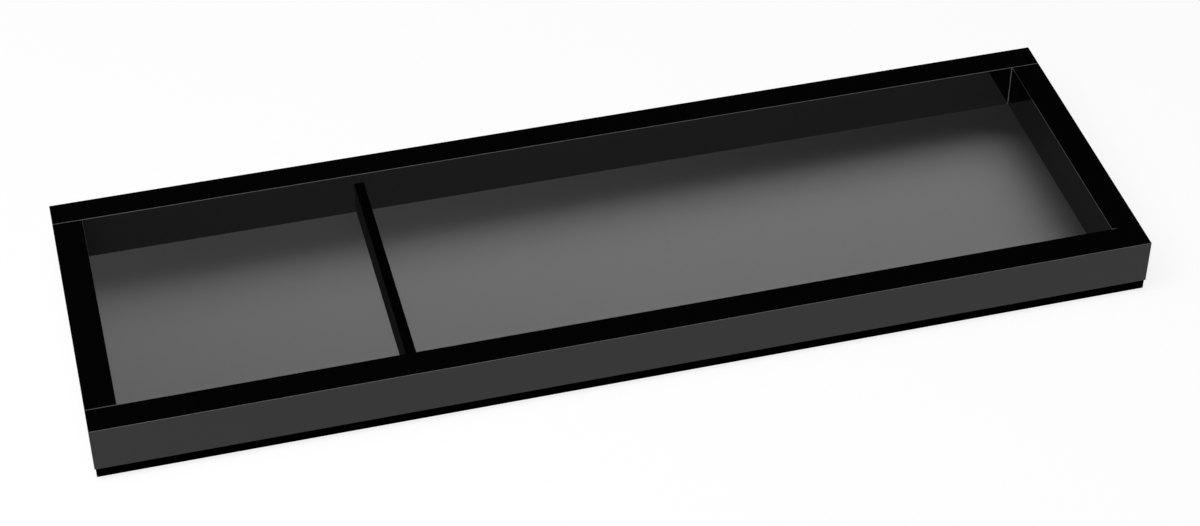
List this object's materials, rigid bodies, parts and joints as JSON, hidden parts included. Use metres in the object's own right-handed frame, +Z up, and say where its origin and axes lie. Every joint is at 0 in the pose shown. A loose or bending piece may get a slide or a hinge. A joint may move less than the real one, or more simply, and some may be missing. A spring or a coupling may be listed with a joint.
{
  "type": "pen tray",
  "caption": "Low rectangular desk tray of black acrylic bars on a base plate, with a divider that sets off a square compartment for clips beside a long one for pens.",
  "frame": {"origin": "on the desk, under the middle of the tray", "axes": "+X along the tray away from the small compartment, +Y from the front rail to the back rail, +Z up"},
  "size_m": [0.28, 0.0896, 0.0176],
  "materials": {
    "gloss_acrylic": "polished gloss",
    "satin_acrylic": "satin",
    "foot_rubber": "matte"
  },
  "bodies": {
    "root": {"base_plate": "satin_acrylic", "front_rail": "gloss_acrylic", "back_rail": "gloss_acrylic", "left_end_wall": "gloss_acrylic", "right_end_wall": "gloss_acrylic", "divider": "gloss_acrylic", "foot_front_left": "foot_rubber", "foot_front_right": "foot_rubber", "foot_back_left": "foot_rubber", "foot_back_right": "foot_rubber"}
  },
  "joints": []
}
